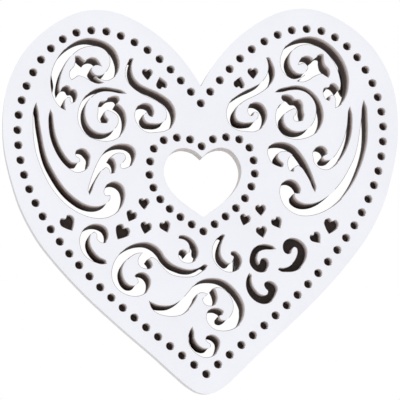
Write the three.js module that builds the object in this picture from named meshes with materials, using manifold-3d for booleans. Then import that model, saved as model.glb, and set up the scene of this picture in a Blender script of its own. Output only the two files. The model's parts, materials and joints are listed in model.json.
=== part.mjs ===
// Heart-shaped wind-up music box, to hang on a wall.
//
// A pierced heart front closes a shallow painted case. A heart-shaped opening goes right through
// the middle. The musical movement sits inside, behind the lower right of the front, and is wound
// with a key in the recess at the back.
//
// Everything is drawn in one drawing frame, in millimetres: u to the right, v up from the heart's
// bottom tip, and h out from the wall. The last lines turn that frame into +X right, +Z up and the
// front towards -Y, with the origin on the rim that rests on the wall.
import * as THREE from 'three';
import { mergeVertices } from 'three/addons/utils/BufferGeometryUtils.js';
import Module from 'manifold-3d';

const wasm = await Module();
wasm.setup();

// ---------------------------------------------------------------- driving dimensions

const GAP = 0.3;               // air left between pieces that touch

// Levels above the wall.
const FRONT_FACE = 50;         // outer face of the pierced front
const FRONT_THICKNESS = 5;
const FRONT_INNER = FRONT_FACE - FRONT_THICKNESS;
const CORE_FRONT = FRONT_INNER - GAP;
const CORE_BACK = 38;          // the core doubles the front behind the scrolls
const COVER_BACK = 31;         // back edge of the cover's rim
const TRAY_FRONT = CORE_BACK - GAP;
const BACK_PANEL_REAR = 12;    // leaves the key's recess behind the back panel
const BACK_PANEL_THICKNESS = 4;
const BACK_PANEL_FRONT = BACK_PANEL_REAR + BACK_PANEL_THICKNESS;

// Walls.
const COVER_WALL = 4;
const TRAY_WALL = 3;
const TRAY_INSET = COVER_WALL + GAP;
const PANEL_INSET = TRAY_INSET + TRAY_WALL + GAP;
const SLEEVE_WALL = 2.5;
const COLLAR_OFFSET = 8;       // collar's inner face outside the heart opening
const COLLAR_WALL = 2.5;
const COLLAR_FLANGE = 2.4;

// Pattern of the front.
const DOT_RADIUS = 2.5;
const DOT_SIDES = 6;
const BORDER_STEPS = 39;       // dot spacings from the bottom dot to the notch dot
const HEART_STEPS = 12;        // the same round the heart opening

// Wall hanging.
const HANGER_HEIGHT = 171.6;   // screw head's height above the bottom tip
const ORIGIN_HEIGHT = 181.5;   // rim's middle under the notch

// Movement, whose own frame has its origin on the bedplate's back, under the cylinder's axis line.
const MOVEMENT = { u: 47.5, v: 90, h: BACK_PANEL_FRONT + GAP };
const BEDPLATE = { width: 48, height: 41, corner: 3, thickness: 1.5 };
const TRAIN_V = 1;             // barrel axis and cylinder axis lie in this plane
const BARREL_U = -11.5;
const CYLINDER_H = 16.4;
const CROWN = { teeth: 36, radius: 10.5 };
const CYLINDER_PINION = { teeth: 12, radius: 3.5 };
const CYLINDER_GEAR = { teeth: 30, radius: 6.75 };
const SECOND_PINION = { teeth: 10, radius: 2.25 };
const SECOND_WHEEL = { teeth: 24, radius: 5.4 };
const SECOND_ANGLE = -Math.PI / 6;         // second arbor seen from the cylinder's axis
const SECOND_CENTRES = 9.1;
const WORM_PITCH_RADIUS = 1.45;
const WORM_LEAD = 2 * Math.PI * SECOND_WHEEL.radius / SECOND_WHEEL.teeth;
const SECOND = {
  v: TRAIN_V + SECOND_CENTRES * Math.cos(SECOND_ANGLE),
  h: CYLINDER_H + SECOND_CENTRES * Math.sin(SECOND_ANGLE),
};
const WORM_U = 22.6;
const WORM_V = SECOND.v + SECOND_WHEEL.radius + WORM_PITCH_RADIUS;

// ---------------------------------------------------------------- materials

function surface(color, roughness, metalness) {
  return new THREE.MeshStandardMaterial({ color, roughness, metalness });
}

const MATERIALS = {
  white_paint: surface(0xf2f3f8, 0.55, 0),
  raw_board: surface(0x54423f, 0.9, 0),
  steel: surface(0xb9bcc2, 0.35, 1),
  brass: surface(0xc9a24a, 0.3, 1),
  spring_steel: surface(0x6c7078, 0.3, 1),
  zinc: surface(0x9c9fa5, 0.5, 1),
  nylon: surface(0xe6e2d6, 0.5, 0),
};

// ---------------------------------------------------------------- curves

const CORNER_STEPS = 3;

const vec = (point) => new THREE.Vector2(point[0], point[1]);
const mirror = (points) => points.map(([u, v, corner]) => [-u, v, corner]);

// A closed outline from [u, v] points; a third value of 1 marks a sharp corner.
function closedCurve(points, steps) {
  const count = points.length;
  const outline = [];
  for (let index = 0; index < count; index += 1) {
    const start = points[index];
    const end = points[(index + 1) % count];
    const before = start[2] ? start : points[(index + count - 1) % count];
    const after = end[2] ? end : points[(index + 2) % count];
    for (let step = 0; step < steps; step += 1) {
      outline.push(new THREE.Vector2(
        catmullRom(before[0], start[0], end[0], after[0], step / steps),
        catmullRom(before[1], start[1], end[1], after[1], step / steps),
      ));
    }
  }
  return outline;
}

function catmullRom(before, start, end, after, t) {
  const startSlope = (end - before) / 2;
  const endSlope = (after - start) / 2;
  return (2 * t ** 3 - 3 * t ** 2 + 1) * start + (t ** 3 - 2 * t ** 2 + t) * startSlope
    + (3 * t ** 2 - 2 * t ** 3) * end + (t ** 3 - t ** 2) * endSlope;
}

// The right half of a heart, bottom to notch, closed with its mirror image.
function symmetricCurve(half, steps) {
  const left = mirror(half.slice(1, -1)).reverse();
  return closedCurve([...half, ...left], steps);
}

// Moves each point of an anticlockwise outline outwards along its mitre.
function offset(outline, distance) {
  return outline.map((point, index) => {
    const before = outline[(index + outline.length - 1) % outline.length];
    const after = outline[(index + 1) % outline.length];
    const arriving = point.clone().sub(before).normalize();
    const leaving = after.clone().sub(point).normalize();
    const normal = new THREE.Vector2(arriving.y + leaving.y, -arriving.x - leaving.x).normalize();
    const mitre = distance / (normal.x * arriving.y - normal.y * arriving.x);
    return point.clone().add(normal.multiplyScalar(mitre));
  });
}

function circle(radius, sides, u = 0, v = 0, phase = 0) {
  const points = [];
  for (let side = 0; side < sides; side += 1) {
    const angle = phase + 2 * Math.PI * side / sides;
    points.push(new THREE.Vector2(u + radius * Math.cos(angle), v + radius * Math.sin(angle)));
  }
  return points;
}

// A rectangle about [u, v] with its corners rounded.
function roundedRectangle(width, height, radius, u = 0, v = 0) {
  const points = [];
  [[1, 1], [-1, 1], [-1, -1], [1, -1]].forEach(([right, up], corner) => {
    for (let step = 0; step <= CORNER_STEPS; step += 1) {
      const angle = (corner + step / CORNER_STEPS) * Math.PI / 2;
      points.push(new THREE.Vector2(
        u + right * (width / 2 - radius) + radius * Math.cos(angle),
        v + up * (height / 2 - radius) + radius * Math.sin(angle),
      ));
    }
  });
  return points;
}

// Points at equal distances along a half curve and its mirror image, both ends included once.
function evenlySpaced(half, spaces) {
  const curve = new THREE.SplineCurve(half.map(vec));
  const right = curve.getSpacedPoints(spaces);
  const left = right.slice(1, -1).map((point) => new THREE.Vector2(-point.x, point.y));
  return [...right, ...left];
}

// ---------------------------------------------------------------- the heart's curves

const HEART_OUTLINE = [
  [0, 0], [5.5, 1], [10.7, 4.1], [19.8, 12], [32.6, 24], [46.2, 36], [59.4, 48], [72, 60],
  [83.4, 72], [93.7, 84], [102.8, 96], [109.8, 108], [115.2, 120], [119, 132], [122, 144],
  [124.1, 156], [124.7, 168], [124.2, 180], [122.1, 192.5], [117.6, 204.5], [110.6, 216.3],
  [101.2, 226.2], [91, 233.8], [80.5, 239.2], [70.5, 241.9], [60.5, 242], [50, 239.6],
  [40, 235], [30, 228.6], [20, 220.2], [10, 208.9], [4.8, 201.4], [0, 193.2, 1],
];
const HEART_OPENING = [
  [0, 110.8, 1], [8.8, 116.8], [16.6, 123.4], [22, 130.4], [24.5, 138.6], [22.9, 146.2],
  [18.2, 152.3], [11.8, 154.3], [4.9, 152.4], [0, 148.2, 1],
];
const BORDER_PATH = [
  [0, 12.6], [21.9, 30], [44, 48.2], [65.3, 67.8], [84.2, 89], [100.5, 112.6], [111.6, 138.5],
  [115.4, 164], [112.8, 184.4], [105.7, 201.9], [94.9, 217], [78.6, 227.7], [59.7, 228.8],
  [41.5, 221.9], [25.7, 211.1], [12.5, 197.4], [0, 182.7],
];
const HEART_PATH = [
  [0, 101.9], [14.2, 111.1], [26.7, 122.4], [33.2, 137.9], [30.3, 154], [23.8, 159.6],
  [15.5, 161.1], [7.3, 159.9], [0, 155.5],
];

const outline = symmetricCurve(HEART_OUTLINE, 1);
const opening = symmetricCurve(HEART_OPENING, 2);

// The heart opening offset outwards; the two lobes' offsets meet on the axis above the notch.
function grownOpening(distance) {
  const half = offset(opening, distance).slice(0, opening.length / 2 + 1);
  const right = half.filter((point) => point.x > 0.05);
  const last = right[right.length - 1];
  const crossed = half[right.length + 1];
  const share = last.x / (last.x - crossed.x);
  const notch = new THREE.Vector2(0, last.y + share * (crossed.y - last.y));
  const left = right.map((point) => new THREE.Vector2(-point.x, point.y)).reverse();
  return [half[0], ...right, notch, ...left];
}

// ---------------------------------------------------------------- scrollwork
// Each scroll is one closed cut. The upper motifs are drawn on the right and mirrored.

const TOP_SCROLL = [
  [85.2, 179.1, 1], [87.5, 180.2], [90.6, 183.3], [92.9, 187.6], [94, 192.5], [94.3, 198],
  [93.2, 204], [90.8, 209.8], [87.2, 215], [82.4, 219.7], [77, 222.9], [71, 224.5], [64.5, 223.8],
  [58.5, 221.4], [54, 217.6], [51.6, 212.8], [50.8, 207.5], [52, 202.8], [55, 199.4],
  [58.6, 197.6], [62.5, 198.2], [66.4, 200.2, 1], [63.8, 197.8], [61.2, 196.2, 1], [65, 195.7],
  [68.5, 196.9], [71.5, 198.8], [74.5, 200.2], [77, 200.8, 1], [79, 199.6], [81.2, 198.2, 1],
  [82.2, 200], [82.2, 203], [79.3, 207], [78.6, 210], [78.3, 213.1], [76.4, 213.4], [74, 211.4],
  [72, 209.8, 1], [70.9, 211.2], [68.5, 212.3], [65.6, 211.8], [63.6, 209.6], [62.3, 206.6, 1],
  [64.6, 207.4], [67.2, 206.8], [68.4, 204.8], [67.4, 202.6], [65.4, 201], [62.4, 201],
  [59.2, 203.2], [57.2, 206.8], [56.8, 211], [58.2, 214.8], [61, 217.6], [65, 219.2], [70, 219.3],
  [75, 217.9], [79.6, 214.8], [83.5, 210.2], [86.4, 204.8], [88.3, 198.6], [88.9, 192.8],
  [88.4, 190.5, 1], [86.8, 193.2], [84.8, 194.7], [82.8, 194.4], [81.3, 192.2, 1], [79.4, 192.2],
  [77.9, 190.4], [77.8, 187.2], [79.2, 184.6], [81.4, 183.5], [82.2, 185], [82, 186.8],
  [83.6, 187.2], [85.2, 185.6], [85.6, 183.5],
];
const FLOWER_SCROLL = [
  [47.2, 189.3, 1], [49, 190.8], [55, 192.6], [61, 193.4], [66.4, 192.2], [71.2, 189],
  [75, 184.2], [77.2, 178.6], [77.6, 173.4], [76.2, 168.2], [73.2, 164], [69, 161.2],
  [64, 159.6], [58.5, 159.3], [53.6, 160.8], [50, 164], [47.8, 168.4], [47.1, 173.4], [48, 178],
  [50.2, 181.2], [52.8, 183.1, 1], [51.1, 185.8], [51.8, 187.3], [55, 187.8], [57.6, 186.9],
  [59.8, 184.8], [62.8, 184.4], [64.5, 182], [64.8, 178], [65.3, 174], [64, 171.3],
  [61.5, 170.7], [59.2, 171], [58.4, 172.8], [60, 175], [60.5, 177.2], [59.4, 178.8],
  [57, 178.1], [54.7, 176.9, 1], [52.6, 174.8], [52.2, 171.4], [53.4, 168.2], [56.4, 165.6],
  [60.5, 164.3], [65, 164.8], [69, 167.2], [71.6, 171], [72.9, 176], [72.5, 181.4],
  [70.2, 185.8], [66.6, 189], [62, 190.6], [56.5, 190.5], [51, 189.4],
];
const S_SCROLL = [
  [42, 211.2, 1], [43.4, 211.6], [45.4, 208.8], [47, 204.8], [47.3, 201], [46, 196.8],
  [43, 193], [38.8, 189.8], [34, 187.1], [29, 184.8], [25, 182.2], [22.4, 179], [21.7, 175],
  [22.8, 172], [25.8, 170.4], [30, 170.2], [34.2, 171.2], [36, 173.6], [35.9, 176], [34, 177.2],
  [32.8, 175.2], [31.2, 174.4], [29.9, 175.8], [29.9, 179.5], [31.4, 181.9], [35.2, 183.2],
  [39, 181.7], [41.4, 178], [41.8, 174], [40.3, 169.8], [37.2, 166.2], [33.2, 164.4],
  [28.5, 164.6], [23, 165.4], [19, 167.8], [16.7, 171.6], [16, 176], [17, 180.6], [19.8, 184.8],
  [24, 188], [29, 190.8], [34, 193], [38.6, 195.6], [41.8, 199.5], [43.2, 204.2], [42.9, 208.4],
];
const OUTER_CRESCENT = [
  [103.5, 183.5, 1], [105, 180], [105.6, 172], [105.6, 164], [104.8, 156], [102.8, 148],
  [100, 140.5], [96.4, 133], [92, 126.4], [86.5, 120.3], [80, 115.5], [73, 112.2], [66, 110.8],
  [60, 111.4], [55, 113.9], [51, 118], [49, 123], [48.7, 127], [50, 131], [53, 133.4],
  [56, 133.9], [59, 132.7], [61.2, 130], [62, 127.3], [61.3, 125.4, 1], [58.2, 125.2, 1],
  [58.3, 122.8], [60.2, 120.5], [64, 118.7], [69, 118.5], [74.5, 120.2], [80, 123.8],
  [85, 128.4], [89.3, 134], [93.2, 140.6], [96.4, 147], [98.8, 155], [100.3, 163.5],
  [101.6, 172], [102.5, 180],
];
const INNER_CRESCENT = [
  [94.6, 179.3, 1], [95.6, 176], [95.9, 170], [95.3, 163.5], [93.5, 157], [90.5, 150.5],
  [87, 145.5], [83, 141.8], [79.5, 139.9], [75.8, 140.2], [72.9, 141.9], [71, 144.2],
  [70.5, 147], [70.2, 150.6, 1], [71.5, 152.6], [73.2, 154.4], [75.8, 155], [78, 154.1],
  [79.4, 152], [79.2, 150], [77.6, 149, 1], [76.6, 147.6], [77.4, 146.2], [79.2, 145.8],
  [81.6, 146.2], [83.9, 148.1], [86.5, 151.7], [89, 156.3], [91, 161.6], [92.3, 167], [93, 173],
  [93.5, 177],
];
const LEAF_SCROLL = [
  [71, 125.8, 1], [71.8, 128], [70.6, 133.5], [68.4, 139.8], [65.8, 145.5], [62.8, 150.3],
  [59.4, 154.2], [55, 156.8], [50, 157.6], [45.8, 157], [42.6, 154.8], [41.5, 151.5],
  [42.2, 148], [44.2, 144.4], [47, 142.7], [50.6, 142.1, 1], [51.6, 143.5], [49.6, 145.8],
  [48, 148.6], [48.9, 151], [52, 151.8], [55.4, 150.9], [57.2, 149.4], [55.2, 147.7],
  [54.2, 145.3], [54.3, 142], [55.6, 139.3], [57.7, 139.1], [58.6, 141.6], [60.4, 142.7],
  [62.6, 141.4], [65.2, 137.7], [67.8, 133], [69.8, 127.9],
];
const WEST_C_SCROLL = [
  [-61.2, 82.6, 1], [-61.4, 84.1], [-65, 86.2], [-68.6, 89.8], [-70.9, 94], [-71.4, 98],
  [-70, 101.4], [-68.4, 102.4], [-66.9, 100.6], [-66.8, 98], [-65, 96], [-62.4, 95.4],
  [-60.4, 97.4], [-59.6, 101], [-61, 104.9], [-64.2, 106.9], [-68.4, 107.4], [-72.6, 106],
  [-75.8, 102.8], [-77.6, 98.4], [-77.4, 93.4], [-75.6, 88.9], [-72.2, 85.4], [-68, 83.2],
  [-64.4, 82.2],
];
const HOOK_SCROLL = [
  [-15.6, 97.6, 1], [-15.2, 99.1], [-12.2, 99.5], [-8.6, 98], [-5.6, 95], [-3.7, 91],
  [-3.5, 87.6], [-4.9, 84.6], [-7.6, 82.5], [-11, 82.1], [-14.2, 83.4], [-15.9, 86],
  [-15.6, 89], [-13.6, 90.7], [-11.2, 89.6], [-10.4, 87.8], [-9.2, 88.8], [-8.8, 91.4],
  [-9.8, 94.6], [-12.4, 96.8],
];
const MIDDLE_C_SCROLL = [
  [13.6, 99.2, 1], [11.6, 95], [10.5, 90.8], [10.8, 86.6], [13, 83.2], [15.6, 81.5],
  [17.2, 81.8], [18.3, 83.6], [18.7, 85.6], [17, 87], [17.4, 88.7], [19.4, 89.2], [21.8, 87.6],
  [23.6, 84.8], [23.6, 81.2], [21.4, 77.9], [17.8, 76.2], [14, 76.3], [10.2, 78.3], [7.2, 81.6],
  [5.4, 86], [5.4, 90.8], [7.2, 95.4], [10.4, 98.8], [12.4, 99.9],
];
const EAST_C_SCROLL = [
  [45.1, 90.2, 1], [44.4, 91.4], [41.4, 92.8], [37.6, 93.3], [33.6, 92.3], [30.6, 89.4],
  [29, 85.4], [28.8, 81.4], [30.8, 77.9], [34.2, 75.8], [37.8, 76], [40.2, 78.6], [40.8, 82],
  [39.2, 84.4], [36.8, 84.4], [35.3, 82.4], [34.9, 80.8], [33.8, 82.6], [33.6, 86], [35, 88.8],
  [38.4, 89.9], [42, 89.9],
];
const FAR_EAST_SCROLL = [
  [46.7, 77, 1], [47.2, 78], [50, 78.1], [53.4, 79], [56.2, 81.4], [58.3, 84.8], [59.1, 88.4],
  [58.7, 90.3], [57.2, 91.4], [55.9, 90], [54.8, 87.8], [53, 86.9], [51, 87.8], [49.9, 90.4],
  [50.2, 93.2], [52.2, 95.8], [55.2, 97], [58.6, 96.6], [61.8, 94.8], [64.2, 92], [65.2, 88.4],
  [64.7, 84.6], [62.6, 80.6], [59.6, 77.4], [56, 75.9], [51.5, 75.7], [48.4, 76],
];
const LOW_EAST_SCROLL = [
  [28.4, 75, 1], [27, 72.6], [26.1, 68.6], [26.8, 64], [29, 60.2], [32.4, 57.2], [36.4, 55.8],
  [40.2, 56.4], [43.2, 59], [45, 62], [46, 65.6], [44.6, 68.3], [42, 69.9], [39.3, 69.9],
  [37.6, 67.9], [38.4, 65.5], [39.9, 63.8], [39.4, 61.8], [37.8, 61.2], [34.8, 62], [32, 64.8],
  [30.2, 68], [29.5, 71.6], [29.6, 74.2],
];
const BOTTOM_C_SCROLL = [
  [-8.2, 41.7, 1], [-9.6, 39.6], [-10.8, 35.8], [-10.4, 31.4], [-8.4, 27.6], [-5, 24.6],
  [-0.8, 22.9], [3.4, 23.4], [6.8, 25.9], [8.7, 29.8], [8.8, 33.6], [6.8, 36], [3.8, 37],
  [1, 36.1], [0, 34.1], [1.4, 32.2], [3, 30.9], [2.7, 29.1], [0.4, 28.4], [-2.6, 29.2],
  [-5.2, 31.6], [-7, 35], [-7.3, 39.4],
];
const WEST_LEAF = [
  [2.3, 80.3, 1], [0.8, 81.1], [-2.4, 79.5], [-6.4, 78.1], [-11, 78.2], [-16, 79.8],
  [-20.6, 82.2], [-24.2, 85.8], [-26.8, 90], [-30.2, 93.3], [-34.6, 95.3], [-39.6, 95.4],
  [-45, 94], [-50, 91], [-54, 86.8], [-57, 81.6], [-58.1, 75.6], [-56.8, 70], [-53.6, 65.6],
  [-49.4, 63], [-44.8, 61.8], [-40, 62.3], [-36, 64.9], [-33.9, 68.8], [-33.9, 72.4],
  [-36, 75.6], [-39.2, 76.7], [-42.2, 75.8], [-43.6, 74.2], [-42, 72.6], [-41.5, 70.4],
  [-43.2, 68.7], [-46.2, 68.6], [-49.2, 70.8], [-51, 74.4], [-51.4, 78.8], [-49.8, 82.9],
  [-46.6, 86.2], [-42.6, 88.5], [-38.2, 88.8, 1], [-40.4, 86.6], [-41.4, 83.4], [-40.2, 80.4],
  [-37.4, 79], [-34.4, 78.9], [-32.4, 80.8], [-33, 83.2], [-34.6, 85.2], [-32.6, 85.9],
  [-30.2, 84.6], [-27.4, 81.2], [-24.4, 77.8], [-21, 75.2], [-16.5, 73.8], [-11, 73.3],
  [-6, 74], [-2, 76.4], [0.8, 78.4],
];
const SOUTH_LEAF = [
  [-34.9, 58.5, 1], [-33, 57.6], [-29.6, 56.2], [-25, 55.6], [-21, 55.9], [-17.4, 57.4],
  [-13.6, 60.2], [-10.4, 63.6], [-7.4, 67.2], [-3.6, 70.4], [0.8, 72.1], [5.6, 72.4],
  [10.4, 71.6], [15, 69.2], [19.2, 65.2], [22.6, 60.4], [24.7, 55.2], [24.6, 49.8],
  [22.8, 45], [19.4, 41.6], [15, 39.7], [10.4, 39.3], [6, 40.2], [2.8, 42.8], [0.9, 46.4],
  [1, 50], [3, 52.8], [6.4, 53.7], [9.8, 53], [11.7, 51.2], [10.9, 49.8], [9.2, 48.8],
  [9.4, 46.8], [11.6, 45.8], [14.2, 46.7], [16.4, 49.2], [17.7, 52.8], [17.6, 56.8],
  [16, 60.8], [13.4, 64.2], [10.2, 66.2], [6.2, 66.4], [7.6, 63.2], [8.1, 59.8], [7, 56.8],
  [4.4, 55.1], [1.4, 55.3], [-0.8, 57], [-1.3, 59.2], [0.4, 60.9], [1.9, 62.4], [-0.4, 63.3],
  [-3.6, 63.1], [-5.2, 60], [-7.8, 56], [-11, 52.4], [-15, 49.8], [-20, 48.9], [-25.4, 49.4],
  [-30, 51], [-33.2, 53.8],
];

const MIRRORED_SCROLLS = [
  TOP_SCROLL, FLOWER_SCROLL, S_SCROLL, OUTER_CRESCENT, INNER_CRESCENT, LEAF_SCROLL,
];
const LOWER_SCROLLS = [
  WEST_C_SCROLL, HOOK_SCROLL, MIDDLE_C_SCROLL, BOTTOM_C_SCROLL, WEST_LEAF, SOUTH_LEAF,
];
// These three lie in front of the movement, where the back panel is whole.
const SCROLLS_OVER_MOVEMENT = [EAST_C_SCROLL, FAR_EAST_SCROLL, LOW_EAST_SCROLL];

const THROUGH_SCROLLS = [
  ...MIRRORED_SCROLLS,
  ...MIRRORED_SCROLLS.map(mirror),
  ...LOWER_SCROLLS,
];

// The core repeats the scrolls with a coarser saw: corners and every second point between.
const coarse = (scroll) => scroll.filter((point, index) => point[2] || index % 2 === 0);

// Wide windows in the back panel let daylight through the scrolls, clear of posts and movement.
const UPPER_WINDOW = [
  [14.5, 168], [13.5, 178], [17, 190], [28, 196.5], [40, 204], [41.5, 214], [47, 221.5], [55, 228],
  [66, 231.2], [76, 229.5], [85.7, 225], [91.5, 217], [92.5, 206], [91.5, 197], [94, 190.5],
  [104, 188.3], [110.5, 186], [113.3, 174], [112.8, 160], [108.5, 144], [101, 129.5], [90.5, 117],
  [76, 111.4], [60, 111.6], [51.5, 113.5], [47, 120], [44, 127], [41.5, 138], [40, 148],
  [38.5, 158], [32, 165.5], [22, 166.5],
];
const WEST_WINDOW = [
  [-56, 60.5], [-61, 70], [-64, 77], [-72, 81.5], [-78.5, 88], [-79.5, 98], [-77, 107], [-70, 111],
  [-61, 110], [-55.5, 103], [-50, 98.5], [-38, 99], [-28, 98.5], [-20, 101.5], [-13.5, 101.6],
  [-9, 98.5], [-5, 94.5], [-4.4, 88], [-1, 85.5], [4, 83.5], [5.5, 80.5], [4, 78.5], [-1, 75.8],
  [-10, 71.8], [-16, 71], [-24, 75], [-29, 77], [-31.5, 71], [-32, 65], [-38, 60.2], [-47, 58.8],
];
const MIDDLE_WINDOW = [
  [9, 80], [7, 87], [8, 95.5], [11.5, 100.6], [16.5, 102], [17.5, 97], [16.8, 90.5], [21, 91],
  [21.6, 83], [20.5, 76.5], [14.5, 75.5],
];
const SOUTH_WINDOW = [
  [-34, 48.5], [-36, 56.5], [-32.5, 60], [-24, 57.8], [-19, 59.3], [-14, 64.5], [-9, 69.3],
  [-1, 72.8], [8, 74.6], [17, 72.6], [22.8, 67.5], [26, 61], [25, 53.5], [24.5, 46], [21.5, 40.8],
  [14.5, 37.2], [14.8, 31], [12, 24], [5, 20.5], [-3, 20.3], [-9.5, 24.5], [-12.5, 31],
  [-12, 38.5], [-14.5, 45], [-20, 46.6], [-28, 47],
];
const BACK_WINDOWS = [UPPER_WINDOW, mirror(UPPER_WINDOW), WEST_WINDOW, MIDDLE_WINDOW, SOUTH_WINDOW];

// Small hearts: centre, height and the way the tip points, in degrees from +u.
const SMALL_HEARTS = [
  { u: 33.4, v: 201.4, height: 7, points: -88 },
  { u: -33.4, v: 201.4, height: 7, points: -92 },
  { u: 24.7, v: 195.6, height: 7.2, points: 78 },
  { u: -24.7, v: 195.6, height: 7.2, points: 102 },
  { u: 36.4, v: 114.8, height: 7, points: -88 },
  { u: 26.3, v: 108.9, height: 7, points: -108 },
  { u: 46.7, v: 106.6, height: 7.2, points: -62 },
  { u: 36.8, v: 101, height: 7.2, points: -78 },
  { u: 80.5, v: 104.1, height: 9.6, points: -106 },
  { u: 71.1, v: 96.7, height: 7.4, points: -52 },
  { u: -37, v: 119.8, height: 7, points: -92 },
  { u: -45.2, v: 112.1, height: 7, points: -116 },
  { u: -36.1, v: 104.6, height: 7.4, points: -104 },
  { u: -23.8, v: 105, height: 7.2, points: -70 },
  { u: -51.3, v: 101.9, height: 9.6, points: -122 },
  { u: -84.6, v: 107.9, height: 9.8, points: -62 },
];

function smallHeart({ u, v, height, points }) {
  const shape = [
    [0, -0.52, 1], [0.3, -0.2], [0.48, 0.12], [0.4, 0.38], [0.2, 0.48], [0, 0.34, 1],
    [-0.2, 0.48], [-0.4, 0.38], [-0.48, 0.12], [-0.3, -0.2],
  ];
  const turn = (points + 90) * Math.PI / 180;
  return closedCurve(shape, 1).map((point) => point
    .multiplyScalar(height)
    .rotateAround(new THREE.Vector2(), turn)
    .add(new THREE.Vector2(u, v)));
}

// ---------------------------------------------------------------- solids

// A flat piece with holes, standing on level `from` and reaching to level `to`.
function plate(outer, holes, from, to) {
  const shape = new THREE.Shape(outer);
  holes.forEach((hole) => shape.holes.push(new THREE.Path(hole)));
  const geometry = new THREE.ExtrudeGeometry(shape, { depth: to - from, bevelEnabled: false });
  return geometry.translate(0, 0, from);
}

// A round piece turned about the h axis, from an anticlockwise [radius, level] profile that either
// starts and ends on the axis or is closed here.
function turned(profile, sides, u = 0, v = 0) {
  const points = profile.map(vec);
  if (points[0].x > 0) {
    points.push(points[0].clone());
  }
  const geometry = new THREE.LatheGeometry(points, sides);
  return geometry.rotateX(Math.PI / 2).translate(u, v, 0);
}

const disc = (radius, from, to, sides, u = 0, v = 0, bore = 0) => plate(
  circle(radius, sides, u, v),
  bore > 0 ? [circle(bore, sides, u, v)] : [],
  from,
  to,
);

// Lays a piece drawn about the h axis along the u axis: its u becomes v and its v becomes h.
const ALONG_U = new THREE.Matrix4().makeBasis(
  new THREE.Vector3(0, 1, 0),
  new THREE.Vector3(0, 0, 1),
  new THREE.Vector3(1, 0, 0),
);
const alongU = (geometry, v, h) => geometry.applyMatrix4(ALONG_U).translate(0, v, h);

function block(width, height, depth, u, v, h) {
  return new THREE.BoxGeometry(width, height, depth).translate(u, v, h);
}

function toSolid(geometry) {
  const bare = geometry.clone();
  bare.deleteAttribute('normal');
  bare.deleteAttribute('uv');
  const merged = mergeVertices(bare, 1e-4);
  return new wasm.Manifold(new wasm.Mesh({
    numProp: 3,
    vertProperties: new Float32Array(merged.attributes.position.array),
    triVerts: new Uint32Array(merged.index.array),
  }));
}

function fromSolid(solid) {
  const mesh = solid.getMesh();
  const geometry = new THREE.BufferGeometry();
  geometry.setAttribute('position', new THREE.BufferAttribute(mesh.vertProperties, 3));
  geometry.setIndex(new THREE.BufferAttribute(mesh.triVerts, 1));
  const flat = geometry.toNonIndexed();
  flat.computeVertexNormals();
  return flat;
}

function joined(geometries) {
  return fromSolid(geometries.map(toSolid).reduce((sum, solid) => sum.add(solid)));
}

function cut(geometry, cutters) {
  const subtract = (rest, cutter) => rest.subtract(toSolid(cutter));
  return fromSolid(cutters.reduce(subtract, toSolid(geometry)));
}

function named(name, geometry, material) {
  const mesh = new THREE.Mesh(geometry, MATERIALS[material].clone());
  mesh.name = name;
  return mesh;
}

const numbered = (name, geometries, material) => geometries.map((geometry, index) => (
  named(`${name}_${index + 1}`, geometry, material)
));

// ---------------------------------------------------------------- case

const POSTS = [[-100, 196], [100, 196], [1, 92], [-20, 41], [30, 48]];
const POST_RADIUS = 3.4;
const SCREW_SIDES = 8;
// Opening in the core that makes room for the cylinder and the governor.
const ROOM = { u: 59.7, v: 92.1, width: 27, height: 33.8, corner: 2 };
const CASE_SCREW = { shank: 1.4, head: 2.8, headHeight: 1.6, hole: 1.8, reach: 20 };

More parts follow.
